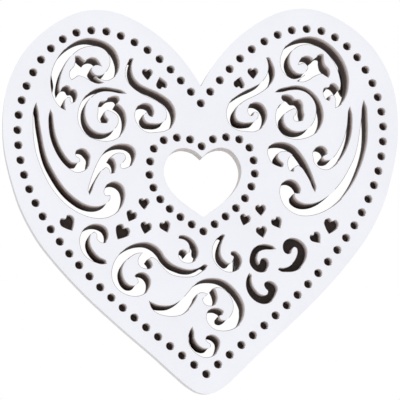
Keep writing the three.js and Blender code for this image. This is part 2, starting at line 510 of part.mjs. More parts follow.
function caseParts() {
  const dots = [...evenlySpaced(BORDER_PATH, BORDER_STEPS), ...evenlySpaced(HEART_PATH, HEART_STEPS)];
  const frontHoles = [
    opening,
    ...dots.map((dot) => circle(DOT_RADIUS, DOT_SIDES, dot.x, dot.y)),
    ...SMALL_HEARTS.map(smallHeart),
    ...[...THROUGH_SCROLLS, ...SCROLLS_OVER_MOVEMENT].map((scroll) => closedCurve(scroll, 1)),
  ];
  const trayOutline = offset(outline, -TRAY_INSET);
  const coreHoles = [
    grownOpening(SLEEVE_WALL + GAP),
    roundedRectangle(ROOM.width, ROOM.height, ROOM.corner, ROOM.u, ROOM.v),
    ...[...THROUGH_SCROLLS, EAST_C_SCROLL, LOW_EAST_SCROLL].map((scroll) => (
      closedCurve(coarse(scroll), 1)
    )),
  ];
  const collarInner = grownOpening(COLLAR_OFFSET);
  const collarOuter = grownOpening(COLLAR_OFFSET + COLLAR_WALL);
  const backHoles = [
    grownOpening(COLLAR_OFFSET + COLLAR_WALL + GAP),
    ...BACK_WINDOWS.map((window) => closedCurve(window, 1)),
    ...POSTS.map(([u, v]) => circle(CASE_SCREW.hole, 12, u, v)),
    ...MOVEMENT_SCREWS.map(([u, v]) => circle(MOVEMENT_SCREW.hole, 12, MOVEMENT.u + u, MOVEMENT.v + v)),
    circle(KEY_HOLE, 20, MOVEMENT.u + BARREL_U, MOVEMENT.v + TRAIN_V),
    ...HANGER_SCREWS.map(([u, v]) => circle(HANGER_SCREW.hole, 10, u, v)),
  ];
  const flangeBack = COVER_BACK - GAP - COLLAR_FLANGE;
  const sleeveOuter = grownOpening(SLEEVE_WALL);
  return [
    named('front_panel', plate(outline, frontHoles, FRONT_INNER, FRONT_FACE), 'white_paint'),
    named('front_core', plate(trayOutline, coreHoles, CORE_BACK, CORE_FRONT), 'raw_board'),
    named('cover_rim', plate(outline, [offset(outline, -COVER_WALL)], COVER_BACK, FRONT_INNER - GAP),
      'white_paint'),
    named('heart_sleeve', plate(sleeveOuter, [opening], COVER_BACK, FRONT_INNER - GAP), 'white_paint'),
    named('tray_rim', plate(trayOutline, [offset(trayOutline, -TRAY_WALL)], 0, TRAY_FRONT), 'white_paint'),
    named('heart_collar', joined([
      plate(collarOuter, [collarInner], 0, flangeBack + COLLAR_FLANGE),
      plate(collarOuter, [sleeveOuter], flangeBack, flangeBack + COLLAR_FLANGE),
    ]), 'white_paint'),
    named('back_panel', plate(offset(outline, -PANEL_INSET), backHoles, BACK_PANEL_REAR, BACK_PANEL_FRONT),
      'raw_board'),
    ...numbered('screw_post', POSTS.map(screwPost), 'nylon'),
    ...numbered('case_screw', POSTS.map(([u, v]) => panHead(u, v, BACK_PANEL_REAR, CASE_SCREW)), 'steel'),
  ];
}

// A post between the two panels, bored from behind for its screw.
function screwPost([u, v]) {
  const bottom = BACK_PANEL_FRONT + GAP;
  const top = CORE_BACK - GAP;
  const bore = CASE_SCREW.shank + 0.1;
  const boreTop = BACK_PANEL_REAR + CASE_SCREW.reach + 1;
  return turned([
    [0, boreTop], [bore, boreTop], [bore, bottom], [POST_RADIUS, bottom], [POST_RADIUS, top], [0, top],
  ], SCREW_SIDES, u, v);
}

// A pan-head screw whose head sits under level `seat`, its shank running up towards the front.
function panHead(u, v, seat, size) {
  const head = seat - GAP - size.headHeight;
  return turned([
    [0, head], [size.head * 0.8, head], [size.head, head + size.headHeight * 0.4],
    [size.head, seat - GAP], [size.shank, seat - GAP], [size.shank, seat + size.reach - 1],
    [size.shank * 0.4, seat + size.reach], [0, seat + size.reach],
  ], SCREW_SIDES, u, v);
}

// ---------------------------------------------------------------- hanging

const HANGER = {
  width: 24, height: 10, corner: 3, thickness: 1.2, headHole: 2.6, headDrop: 1.5, slot: 1.3, slotReach: 3.7,
};
const HANGER_SCREW = { shank: 1, head: 2.1, headHeight: 1.2, hole: 1.2, reach: 4.8 };
const HANGER_SCREWS = [[-8.8, HANGER_HEIGHT], [8.8, HANGER_HEIGHT]];

function hangingParts() {
  const rear = BACK_PANEL_REAR - GAP - HANGER.thickness;
  const corners = roundedRectangle(HANGER.width, HANGER.height, HANGER.corner, 0, HANGER_HEIGHT);
  // Keyhole: the screw head goes in at the bottom and the shank slides up into the slot.
  const keyhole = [];
  for (let step = 0; step <= 10; step += 1) {
    const angle = (125 + step * 29) * Math.PI / 180;
    keyhole.push(new THREE.Vector2(
      HANGER.headHole * Math.cos(angle),
      HANGER_HEIGHT - HANGER.headDrop + HANGER.headHole * Math.sin(angle),
    ));
  }
  keyhole.push(new THREE.Vector2(HANGER.slot, HANGER_HEIGHT + HANGER.slotReach - HANGER.slot));
  keyhole.push(new THREE.Vector2(0, HANGER_HEIGHT + HANGER.slotReach));
  keyhole.push(new THREE.Vector2(-HANGER.slot, HANGER_HEIGHT + HANGER.slotReach - HANGER.slot));
  const holes = [keyhole, ...HANGER_SCREWS.map(([u, v]) => circle(HANGER_SCREW.hole, 10, u, v))];
  return [
    named('hanger_plate', plate(corners, holes, rear, rear + HANGER.thickness), 'steel'),
    ...numbered('hanger_screw', HANGER_SCREWS.map(([u, v]) => panHead(u, v, rear, HANGER_SCREW)), 'steel'),
  ];
}

// ---------------------------------------------------------------- gears

// Outline of a spur gear with straight-sided teeth, one tooth centred on `phase`.
function gearOutline({ teeth, radius }, phase, addendum = 0.8, dedendum = 1.15, backlash = 0.28) {
  const module = 2 * radius / teeth;
  const pitch = 2 * Math.PI / teeth;
  const tip = radius + addendum * module;
  const root = radius - dedendum * module;
  const half = pitch / 4 - backlash / 2 / radius;
  const points = [];
  for (let tooth = 0; tooth < teeth; tooth += 1) {
    const middle = phase + tooth * pitch;
    [[root, -1.45], [tip, -0.5], [tip, 0.5], [root, 1.45]].forEach(([reach, side]) => {
      const angle = middle + side * half;
      points.push(new THREE.Vector2(reach * Math.cos(angle), reach * Math.sin(angle)));
    });
  }
  return points;
}

const gear = (size, phase, from, to, bore, boreSides = 16) => plate(
  gearOutline(size, phase),
  [circle(bore, boreSides)],
  from,
  to,
);

// ---------------------------------------------------------------- movement

const MOVEMENT_SCREWS = [[-19, -15.3], [19, -15.3], [10.5, 15.3]];
const MOVEMENT_SCREW = { shank: 1.2, head: 2.4, headHeight: 1.4, hole: 1.5, reach: 6.6 };
const KEY_HOLE = 4.2;
const ARBOR_RADIUS = 1.5;
const ARBOR_CLEARANCE = 0.2;
const FIT = 0.1;               // between pieces pressed on one shaft
const EMBED = 0.1;             // how far a joined detail reaches into its body

const BARREL = { floor: 4, wall: 0.8, outer: 9.6, rim: 11.4, rimBase: 10.9, top: 12.1 };
const BARREL_LID = { radius: 8.65, from: 11.2, to: 12 };
const CROWN_TOOTH = { width: 0.6, height: 1, from: 9.75, to: 11.25 };
const RATCHET = { teeth: 16, root: 3.6, tip: 4.6, from: 1.9, to: 3.1 };
const CLICK_PIVOT = { u: BARREL_U + 7.6, v: TRAIN_V + 4 };
const CYLINDER = { radius: 6.4, from: 2.4, to: 16.8, pinHeight: 0.45, pins: 36 };
const CYLINDER_ARBOR_RADIUS = 0.9;
const COMB = { teeth: 18, tipGap: 0.35, length: 9.5, thickness: 1, depth: 4.6 };

function bedplatePart() {
  const { width, height, corner, thickness } = BEDPLATE;
  const corners = roundedRectangle(width, height, corner);
  const holes = [
    circle(ARBOR_RADIUS + ARBOR_CLEARANCE, 16, BARREL_U, TRAIN_V),
    circle(CLICK_STUD.hole, 10, CLICK_PIVOT.u, CLICK_PIVOT.v),
    ...MOVEMENT_SCREWS.map(([u, v]) => circle(MOVEMENT_SCREW.shank + FIT, 12, u, v)),
  ];
  return named('bedplate', plate(corners, holes, 0, thickness), 'zinc');
}

// Open drum with a toothed rim: the crown wheel that drives the cylinder.
function barrelPart() {
  const { floor, wall, outer, rim, rimBase, top } = BARREL;
  const hub = ARBOR_RADIUS + ARBOR_CLEARANCE;
  const drum = turned([
    [hub, floor], [outer, floor], [outer, rimBase], [rim, rimBase], [rim, top],
    [outer - wall, top], [outer - wall, floor + wall], [hub, floor + wall],
  ], 24);
  const teeth = [];
  for (let tooth = 0; tooth < CROWN.teeth; tooth += 1) {
    const angle = (tooth + 0.5) * 2 * Math.PI / CROWN.teeth;
    const middle = (CROWN_TOOTH.from + CROWN_TOOTH.to) / 2;
    const length = CROWN_TOOTH.to - CROWN_TOOTH.from;
    const box = new THREE.BoxGeometry(length, CROWN_TOOTH.width, CROWN_TOOTH.height + 2 * EMBED);
    teeth.push(box.translate(middle, 0, top + CROWN_TOOTH.height / 2 - EMBED).rotateZ(angle));
  }
  return named('barrel', joined([drum, ...teeth]).translate(BARREL_U, TRAIN_V, 0), 'brass');
}

function barrelLidPart() {
  const bore = ARBOR_RADIUS + ARBOR_CLEARANCE;
  const { radius, from, to } = BARREL_LID;
  return named('barrel_lid', disc(radius, from, to, 24, BARREL_U, TRAIN_V, bore), 'brass');
}

// Coiled strip between the arbor and the drum's wall.
function mainspringPart() {
  const turns = 5;
  const steps = 12 * turns;
  const inner = ARBOR_RADIUS + 0.9;
  const outer = BARREL.outer - BARREL.wall - 0.4;
  const thickness = 0.4;
  const spiral = (radiusOffset) => {
    const points = [];
    for (let step = 0; step <= steps; step += 1) {
      const angle = 2 * Math.PI * turns * step / steps;
      const radius = inner + (outer - thickness - inner) * step / steps + radiusOffset;
      points.push(new THREE.Vector2(radius * Math.cos(angle), radius * Math.sin(angle)));
    }
    return points;
  };
  const strip = [...spiral(thickness), ...spiral(0).reverse()];
  const from = BARREL.floor + BARREL.wall + 0.3;
  const geometry = plate(strip, [], from, BARREL.top - 1.2).translate(BARREL_U, TRAIN_V, 0);
  return named('mainspring', geometry, 'spring_steel');
}

const ARBOR_BOTTOM = -12.5;
const KEY = { hub: 2.9, hubTop: -7, hubBottom: -15.2, wing: 13, thickness: 1.8, angle: Math.PI / 6 };

function windingArborPart() {
  const shaft = disc(ARBOR_RADIUS, ARBOR_BOTTOM, BARREL.top + 0.4, 16, BARREL_U, TRAIN_V);
  return named('winding_arbor', shaft, 'steel');
}

function ratchetPart() {
  const points = [];
  for (let tooth = 0; tooth < RATCHET.teeth; tooth += 1) {
    const angle = 2 * Math.PI * tooth / RATCHET.teeth;
    const next = angle + 2 * Math.PI * 0.92 / RATCHET.teeth;
    points.push(new THREE.Vector2(RATCHET.root * Math.cos(angle), RATCHET.root * Math.sin(angle)));
    points.push(new THREE.Vector2(RATCHET.tip * Math.cos(next), RATCHET.tip * Math.sin(next)));
  }
  const geometry = plate(points, [circle(ARBOR_RADIUS + FIT, 16)], RATCHET.from, RATCHET.to);
  return named('ratchet_wheel', geometry.translate(BARREL_U, TRAIN_V, 0), 'steel');
}

// Butterfly key with a hollow hub on the arbor's end.
function keyPart() {
  const bow = [
    [-KEY.wing, -13.2], [-KEY.wing + 2, -15], [-6, -15.2], [6, -15.2], [KEY.wing - 2, -15],
    [KEY.wing, -13.2], [KEY.wing, -9.6], [KEY.wing - 2, -7.8], [7.5, -8.4], [3, -10],
    [-3, -10], [-7.5, -8.4], [-KEY.wing + 2, -7.8], [-KEY.wing, -9.6],
  ].map(vec);
  const wings = new THREE.ExtrudeGeometry(new THREE.Shape(bow), { depth: KEY.thickness, bevelEnabled: false })
    .rotateX(Math.PI / 2)
    .translate(0, KEY.thickness / 2, 0);
  const hub = disc(KEY.hub, KEY.hubBottom, KEY.hubTop, 16);
  const bore = disc(ARBOR_RADIUS + FIT, ARBOR_BOTTOM - 0.3, KEY.hubTop + 1, 16);
  const key = cut(joined([hub, wings]), [bore]).rotateZ(KEY.angle);
  return named('winding_key', key.translate(BARREL_U, TRAIN_V, 0), 'brass');
}

// Pawl and leaf spring, drawn from the pawl's pivot. The pawl points down and left at the ratchet,
// so the wheel turns clockwise under it and is stopped the other way.
const PAWL = [
  [-0.1, 1.88], [-1.58, 0.87], [-2.24, -2.19], [-2.65, -4.48], [-3.1, -5.6], [-1.83, -5.16],
  [-0.4, -3.21], [1.58, -0.87], [1.65, 0.92],
];
const CLICK_BLADE = [
  [0.27, -3.12], [0.75, -5], [1.5, -7.2], [2, -9.2], [2, -11], [4, -11], [4, -9.2], [2.6, -9],
  [1.9, -7.1], [1.12, -5], [0.62, -3.25],
];
const CLICK_STUD = { radius: 0.7, hole: 0.8, head: 1.25, bottom: 0.3, headHeight: 0.5 };

function clickParts() {
  const { u, v } = CLICK_PIVOT;
  const { radius, head, bottom, headHeight } = CLICK_STUD;
  const seat = RATCHET.to + 0.2;
  const pivotHole = circle(radius + 0.25, 12);
  const pawl = plate(PAWL.map(vec), [pivotHole], RATCHET.from, RATCHET.to);
  const stud = turned([
    [0, bottom], [radius, bottom], [radius, seat], [head, seat], [head, seat + headHeight],
    [0, seat + headHeight],
  ], 12, u, v);
  const blade = plate(CLICK_BLADE.map(vec), [], RATCHET.from, RATCHET.to - 0.2);
  return [
    named('click', pawl.translate(u, v, 0), 'steel'),
    named('click_stud', stud, 'steel'),
    named('click_spring', blade.translate(u, v, 0), 'spring_steel'),
  ];
}

// Pins stand on 18 tracks, one under each tooth of the comb, in a fixed irregular order.
function cylinderParts() {
  const { radius, from, to, pinHeight, pins } = CYLINDER;
  const drum = plate(circle(radius, 24), [circle(CYLINDER_ARBOR_RADIUS + FIT, 12)], from, to);
  const pinParts = [];
  for (let pin = 0; pin < pins; pin += 1) {
    const track = (pin * 7) % COMB.teeth;
    const angle = 2 * Math.PI * ((pin * 0.618034) % 1) * 0.94 + 0.35;
    const along = from + 1.2 + (to - from - 2.4) * track / (COMB.teeth - 1);
    const stub = new THREE.BoxGeometry(pinHeight * 2, 0.28, 0.28);
    pinParts.push(stub.translate(radius, 0, along).rotateZ(angle));
  }
  const pinned = joined([drum, ...pinParts]);
  const arbor = disc(CYLINDER_ARBOR_RADIUS, -3.2, 20.2, 12);
  const pinion = gear(CYLINDER_PINION, -Math.PI / 2, BARREL_U + CROWN_TOOTH.from - 0.2,
    BARREL_U + CROWN_TOOTH.to + 0.1, CYLINDER_ARBOR_RADIUS + FIT, 12);
  const wheel = gear(CYLINDER_GEAR, SECOND_ANGLE, to + 0.2, to + 1.4, CYLINDER_ARBOR_RADIUS + FIT, 12);
  return [
    named('pinned_cylinder', alongU(pinned, TRAIN_V, CYLINDER_H), 'brass'),
    named('cylinder_arbor', alongU(arbor, TRAIN_V, CYLINDER_H), 'steel'),
    named('cylinder_pinion', alongU(pinion, TRAIN_V, CYLINDER_H), 'brass'),
    named('cylinder_gear', alongU(wheel, TRAIN_V, CYLINDER_H), 'brass'),
  ];
}

const BRACKET_BASE = BEDPLATE.thickness + GAP;
const LEFT_BRACKET = { from: 0.7, to: 1.9, halfWidth: 2.4 };
const FRAME = { from: 19, to: 20 };
const SECOND_ARBOR_RADIUS = 0.7;
const WORM = { root: 1.05, tip: 1.85, from: SECOND.h - 4.2, to: SECOND.h + 4.2, shaft: 0.6 };
const FRAME_TOP = 25.4;

// A standing plate between u levels, drawn in (v, h), with bearing holes.
const standing = (points, holes, from, to) => plate(points.map(vec), holes, from, to).applyMatrix4(ALONG_U);

function bracketParts() {
  const { from, to, halfWidth } = LEFT_BRACKET;
  const low = BARREL.top + 1.3;
  const left = standing([
    [TRAIN_V + 12.8, BRACKET_BASE], [TRAIN_V + 16, BRACKET_BASE], [TRAIN_V + 16, low + 3],
    [TRAIN_V + halfWidth, CYLINDER_H + 3.4], [TRAIN_V - halfWidth, CYLINDER_H + 3.4],
    [TRAIN_V - halfWidth, low], [TRAIN_V + 12.8, low],
  ], [circle(CYLINDER_ARBOR_RADIUS + FIT, 12, TRAIN_V, CYLINDER_H)], from, to);
  const frame = standing([
    [TRAIN_V - 4, BRACKET_BASE], [WORM_V + 1.6, BRACKET_BASE], [WORM_V + 1.6, FRAME_TOP],
    [WORM_V - 3.4, FRAME_TOP], [TRAIN_V + 3, CYLINDER_H + 3], [TRAIN_V - 3, CYLINDER_H + 3],
  ], [
    circle(CYLINDER_ARBOR_RADIUS + FIT, 12, TRAIN_V, CYLINDER_H),
    circle(SECOND_ARBOR_RADIUS + FIT, 12, SECOND.v, SECOND.h),
  ], FRAME.from, FRAME.to);
  const reach = WORM_U + 1.6 - FRAME.to;
  const shelf = (level) => block(reach + 0.2, 3.2, 1.2, FRAME.to + reach / 2 - 0.1, WORM_V, level);
  const pivot = disc(WORM.shaft + FIT, 0, 40, 10, WORM_U, WORM_V);
  const shelves = cut(joined([shelf(BRACKET_BASE + 0.6), shelf(FRAME_TOP - 0.6)]), [pivot]);
  return [
    named('left_bracket', left, 'steel'),
    named('governor_frame', joined([frame, shelves]), 'steel'),
  ];
}

function secondArborParts() {
  const bore = SECOND_ARBOR_RADIUS + FIT;
  const pinionPhase = SECOND_ANGLE + Math.PI + Math.PI / SECOND_PINION.teeth;
  const pinion = gear(SECOND_PINION, pinionPhase, CYLINDER.to + 0.1, CYLINDER.to + 1.6, bore, 10);
  const wheel = gear(SECOND_WHEEL, 0, WORM_U - 0.5, WORM_U + 0.5, bore, 12);
  const arbor = disc(SECOND_ARBOR_RADIUS, CYLINDER.to - 0.2, WORM_U + 1, 10);
  return [
    named('second_arbor', alongU(arbor, SECOND.v, SECOND.h), 'steel'),
    named('second_pinion', alongU(pinion, SECOND.v, SECOND.h), 'brass'),
    named('second_wheel', alongU(wheel, SECOND.v, SECOND.h), 'brass'),
  ];
}

// Single-start worm: a cylinder whose surface rises into a helical thread.
function wormGeometry() {
  const around = 10;
  const perTurn = 6;
  const length = WORM.to - WORM.from;
  const levels = Math.round(perTurn * length / WORM_LEAD);
  const geometry = new THREE.CylinderGeometry(WORM.root, WORM.root, length, around, levels)
    .rotateX(Math.PI / 2)
    .translate(0, 0, (WORM.from + WORM.to) / 2);
  const position = geometry.attributes.position;
  for (let index = 0; index < position.count; index += 1) {
    const [u, v, h] = [position.getX(index), position.getY(index), position.getZ(index)];
    const radius = Math.hypot(u, v);
    const atEnd = Math.min(h - WORM.from, WORM.to - h) < 0.3;
    if (radius > WORM.root * 0.9 && !atEnd) {
      const turn = Math.atan2(v, u) + Math.PI / 2;
      const phase = (h - SECOND.h) / WORM_LEAD - 0.5 - turn / (2 * Math.PI);
      const fromCrest = Math.abs(phase - Math.round(phase));
      const rise = THREE.MathUtils.clamp(1.25 - fromCrest * 5, 0, 1);
      const scale = (WORM.root + (WORM.tip - WORM.root) * rise) / radius;
      position.setXY(index, u * scale, v * scale);
    }
  }
  return geometry;
}

function governorParts() {
  const low = BRACKET_BASE + 0.4;
  const top = FRAME_TOP - 0.3;
  const shaft = disc(WORM.shaft, low, top, 10);
  const worm = joined([shaft, wormGeometry()]).translate(WORM_U, WORM_V, 0);
  const hub = disc(1.3, WORM.to + 1, WORM.to + 4.6, 12);
  const vane = block(4.6, 0.5, 4.6, 0, 0, WORM.to + 2.8);
  const fan = cut(joined([hub, vane]), [disc(WORM.shaft + FIT, 0, 40, 10)]).rotateZ(0.4);
  return [
    named('worm', worm, 'steel'),
    named('air_brake_fan', fan.translate(WORM_U, WORM_V, 0), 'nylon'),
  ];
}

// Comb: graduated teeth reach the cylinder's near side; a cast base holds it at that height.
function combParts() {
  const { teeth, tipGap, length, thickness, depth } = COMB;
  const tipV = TRAIN_V - CYLINDER.radius - CYLINDER.pinHeight - tipGap;
  const left = CYLINDER.from + 0.5;
  const right = CYLINDER.to - 0.5;
  const pitch = (right - left) / teeth;
  const rootV = tipV - length;
  const plan = [[right + 1.2, rootV - depth], [right + 1.2, rootV]];
  for (let tooth = 0; tooth < teeth; tooth += 1) {
    const end = right - tooth * pitch;
    const slotDepth = 0.6 + 0.4 * (teeth - tooth) / teeth;
    plan.push([end, rootV + length * (1 - slotDepth)], [end, tipV]);
    plan.push([end - pitch * 0.72, tipV], [end - pitch * 0.72, rootV + length * (1 - slotDepth)]);
  }
  plan.push([left - 1.2, rootV], [left - 1.2, rootV - depth]);
  const level = CYLINDER_H - thickness / 2;
  const middleV = rootV - depth / 2;
  const screws = [left + 2, right - 2].map((u) => [u, middleV]);
  const base = block(right - left + 2.4, depth - 0.2, level - GAP - BRACKET_BASE, (left + right) / 2,
    middleV, (level - GAP + BRACKET_BASE) / 2);
  const bores = screws.map(([u, v]) => disc(0.9, level - 5, level, 12, u, v));
  return [
    named('comb_base', cut(base, bores), 'zinc'),
    named('comb', plate(plan.map(vec), screws.map(([u, v]) => circle(1, 12, u, v)), level, level + thickness),
      'spring_steel'),
    ...numbered('comb_screw', screws.map(([u, v]) => turned([
      [0, level - 4.5], [0.8, level - 4.5], [0.8, level + thickness + 0.2],
      [1.7, level + thickness + 0.2], [1.7, level + thickness + 1.1], [0, level + thickness + 1.1],
    ], 12, u, v)), 'steel'),
  ];
}

function movementScrewParts() {
  const seat = BACK_PANEL_REAR - MOVEMENT.h;
  const screws = MOVEMENT_SCREWS.map(([u, v]) => panHead(u, v, seat, MOVEMENT_SCREW));
  return numbered('movement_screw', screws, 'steel');
}

// ---------------------------------------------------------------- assembly

const movement = new THREE.Group();
movement.position.set(MOVEMENT.u, MOVEMENT.v, MOVEMENT.h);
movement.add(
  bedplatePart(),
  ...movementScrewParts(),
  barrelPart(),
  barrelLidPart(),
  mainspringPart(),
  windingArborPart(),
  ratchetPart(),
  keyPart(),
  ...clickParts(),
  ...cylinderParts(),
  ...bracketParts(),
  ...secondArborParts(),
  ...governorParts(),
  ...combParts(),
);

const drawing = new THREE.Group();
drawing.rotation.x = Math.PI / 2;
drawing.position.z = -ORIGIN_HEIGHT;
drawing.add(...caseParts(), ...hangingParts(), movement);

const musicBox = new THREE.Group();
musicBox.add(drawing);
musicBox.updateMatrixWorld(true);

export default musicBox;
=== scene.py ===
"""Looks of the heart-shaped wind-up music box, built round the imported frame.

Boards are rebuilt from their own CAD outlines with smooth curves and eased edges. All lengths are in
metres, in the frame's axes: +X right, -Y out of the wall, +Z up.
"""

import json
import math

import bmesh
import bpy
from mathutils import Matrix, Vector, geometry


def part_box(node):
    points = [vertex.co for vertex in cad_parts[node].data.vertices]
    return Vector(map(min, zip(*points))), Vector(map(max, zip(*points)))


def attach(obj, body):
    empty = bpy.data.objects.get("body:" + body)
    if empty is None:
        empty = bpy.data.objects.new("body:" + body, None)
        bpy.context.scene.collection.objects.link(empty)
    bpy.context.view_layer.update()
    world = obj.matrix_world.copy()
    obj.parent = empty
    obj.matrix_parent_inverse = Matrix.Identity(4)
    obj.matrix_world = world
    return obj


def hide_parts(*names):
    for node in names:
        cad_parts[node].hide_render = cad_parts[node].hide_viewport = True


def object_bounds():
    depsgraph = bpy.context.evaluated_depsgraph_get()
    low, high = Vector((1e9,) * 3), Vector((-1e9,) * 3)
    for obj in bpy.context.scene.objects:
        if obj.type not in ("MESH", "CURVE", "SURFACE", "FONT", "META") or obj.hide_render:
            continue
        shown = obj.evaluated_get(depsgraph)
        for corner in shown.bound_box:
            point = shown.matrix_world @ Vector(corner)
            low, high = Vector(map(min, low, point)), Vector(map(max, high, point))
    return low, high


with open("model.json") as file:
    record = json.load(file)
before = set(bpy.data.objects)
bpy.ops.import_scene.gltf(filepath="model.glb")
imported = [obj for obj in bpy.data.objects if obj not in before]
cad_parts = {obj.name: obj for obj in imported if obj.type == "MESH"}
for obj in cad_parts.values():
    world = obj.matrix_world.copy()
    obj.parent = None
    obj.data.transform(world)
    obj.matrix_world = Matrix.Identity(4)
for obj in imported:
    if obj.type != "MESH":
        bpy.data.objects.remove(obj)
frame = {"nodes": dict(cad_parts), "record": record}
cad_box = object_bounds()

MM = 0.001
MM2 = MM * MM

# Material slots of a board: its face, the walls of its cuts, its back, its outer side, the wall of the
# heart opening and the front edge of a cut, which carries painted shade where the wall faces up and to the
# right.
PAINT, WALL, INNER_SHADE, SIDE, OPENING, SHADE_EDGE = range(6)
STRAIGHT = (0.0, 0.0)

FRONT_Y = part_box("front_panel")[0].y
# Cuts lean down and to the left behind the face: the shift at the panel's back and at the core's back.
LEAN_PANEL = (-1.35 * MM, -0.8 * MM)
LEAN_CORE = (-2.6 * MM, -2.7 * MM)
CORNER_TURN = math.radians(80)      # a sharper turn than this stays a corner
WALL_FADE = 12 * MM                 # depth over which a cut's wall goes from sprayed paint through bare board to near-black painted shade
OUTLINE_AREA = 20000 * MM2          # only the heart's own outline encloses more
OPENING_AREA = 800 * MM2            # the heart opening encloses more
FINE_AREA = 1500 * MM2              # cuts smaller than this are smoothed in finer steps
SMALL_CIRCLE = 6 * MM               # a round hole below this radius becomes a true circle
CIRCLE_STEP = 0.45 * MM
FINE_STEP, COARSE_STEP, COLLAR_STEP, PLATE_STEP = 0.5 * MM, 1.0 * MM, 0.8 * MM, 0.6 * MM
SAME_CUT = 1.6 * MM                 # two outlines whose extents differ less are the same cut
CLOTH_CLEARANCE = 0.06 * MM


# ---------------------------------------------------------------- materials

class Surface:
    """A Principled material with short helpers for its node tree."""

    def __init__(self, name, metallic=0.0, roughness=0.5, coat=0.0):
        self.material = bpy.data.materials.new(name)
        self.material.use_nodes = True
        self.tree = self.material.node_tree
        self.shader = self.tree.nodes["Principled BSDF"]
        self.shader.inputs["Metallic"].default_value = metallic
        self.shader.inputs["Roughness"].default_value = roughness
        self.shader.inputs["Coat Weight"].default_value = coat
        self.place = self.tree.nodes.new("ShaderNodeTexCoord").outputs["Object"]

    def link(self, source, target):
        self.tree.links.new(source, target)

    def stretched(self, factors):
        node = self.tree.nodes.new("ShaderNodeMapping")
        node.inputs["Scale"].default_value = factors
        self.link(self.place, node.inputs["Vector"])
        return node.outputs["Vector"]

    def noise(self, scale, detail=3.0, distortion=0.0, place=None):
        node = self.tree.nodes.new("ShaderNodeTexNoise")
        node.inputs["Scale"].default_value = scale
        node.inputs["Detail"].default_value = detail
        node.inputs["Distortion"].default_value = distortion
        self.link(place or self.place, node.inputs["Vector"])
        return node.outputs["Fac"]

    def ramp(self, factor, stops):
        node = self.tree.nodes.new("ShaderNodeValToRGB")
        elements = node.color_ramp.elements
        while len(elements) < len(stops):
            elements.new(0.5)
        for element, (position, color) in zip(elements, stops):
            element.position = position
            element.color = (*color, 1.0)
        self.link(factor, node.inputs["Fac"])
        return node.outputs["Color"]

    def math(self, operation, first, second=0.0, third=0.0):
        node = self.tree.nodes.new("ShaderNodeMath")
        node.operation = operation
        for socket, value in zip(node.inputs, (first, second, third)):
            if isinstance(value, float):
                socket.default_value = value
            else:
                self.link(value, socket)
        return node.outputs[0]

    def axis(self, name, place=None):
        node = self.tree.nodes.new("ShaderNodeSeparateXYZ")
        self.link(place or self.place, node.inputs[0])
        return node.outputs[name]

    def mix(self, factor, first, second):
        node = self.tree.nodes.new("ShaderNodeMix")
        node.data_type = "RGBA"
        self.link(factor, node.inputs["Factor"])
        for key, value in (("A", first), ("B", second)):
            socket = [s for s in node.inputs if s.name == key and s.type == "RGBA"][0]
            if isinstance(value, tuple):
                socket.default_value = (*value, 1.0)
            else:
                self.link(value, socket)
        return [s for s in node.outputs if s.type == "RGBA"][0]

    def colour(self, source):
        self.link(source, self.shader.inputs["Base Color"])

    def rough(self, factor, low, high):
        node = self.tree.nodes.new("ShaderNodeMapRange")
        node.inputs["To Min"].default_value = low
        node.inputs["To Max"].default_value = high
        self.link(factor, node.inputs["Value"])
        self.link(node.outputs["Result"], self.shader.inputs["Roughness"])

    def bump(self, height, strength, distance):
        node = self.tree.nodes.new("ShaderNodeBump")
        node.inputs["Strength"].default_value = strength
        node.inputs["Distance"].default_value = distance
        self.link(height, node.inputs["Height"])
        self.link(node.outputs["Normal"], self.shader.inputs["Normal"])


def white_paint(name, light, dark):
    """Satin sprayed paint: broad faint mottling, a fine spray texture and slightly uneven gloss."""
    s = Surface(name)
    broad = s.noise(28.0, 2.0)
    fine = s.noise(1100.0, 2.0)
    s.colour(s.ramp(s.math("MULTIPLY_ADD", fine, 0.25, s.math("MULTIPLY", broad, 0.75)),
                    [(0.3, dark), (0.62, light)]))
    s.rough(broad, 0.42, 0.58)
    s.bump(s.math("ADD", s.math("MULTIPLY", broad, 1.5), fine), 0.12, 0.05 * MM)
    return s.material


def cut_wall():
    """Sawn edge inside the pattern: spray reaches the first millimetres, bare board is below, and deeper in
    the cut it darkens to near black as painted shade.
    """
    s = Surface("sawn_wall_and_painted_shade", roughness=0.8)
    depth = s.math("MULTIPLY", s.math("SUBTRACT", s.axis("Y"), FRONT_Y), 1.0 / WALL_FADE)
    ragged = s.noise(420.0, 3.0, 0.3)
    level = s.math("ADD", depth, s.math("MULTIPLY", s.math("SUBTRACT", ragged, 0.5), 0.16))
    # Overspray white, then bare board brown, then painted shade down to near black deeper in the cut.
    s.colour(s.ramp(level, [
        (0.0, (0.76, 0.725, 0.71)), (0.22, (0.57, 0.51, 0.485)), (0.37, (0.30, 0.235, 0.21)),
        (0.50, (0.135, 0.088, 0.076)), (0.70, (0.055, 0.034, 0.029)), (0.92, (0.03, 0.019, 0.017)),
    ]))
    saw = s.noise(300.0, 4.0, 0.0, s.stretched((1.0, 9.0, 1.0)))
    s.bump(saw, 0.25, 0.15 * MM)
    return s.material


def bare_board(name, light, dark):
    """Fibreboard face: short pressed fibres, darker specks and a dull surface."""
    s = Surface(name, roughness=0.85)
    fibres = s.noise(900.0, 5.0, 1.2, s.stretched((1.0, 1.0, 0.35)))
    patches = s.noise(45.0, 3.0)
    speck = s.noise(2300.0, 2.0)
    blend = s.math("MULTIPLY_ADD", fibres, 0.6, s.math("MULTIPLY", patches, 0.4))
    base = s.ramp(blend, [(0.34, dark), (0.64, light)])
    s.colour(s.mix(s.ramp(speck, [(0.30, (0.55, 0.55, 0.55)), (0.42, (0.0, 0.0, 0.0))]), base, dark))
    s.rough(patches, 0.78, 0.92)
    s.bump(fibres, 0.3, 0.12 * MM)
    return s.material


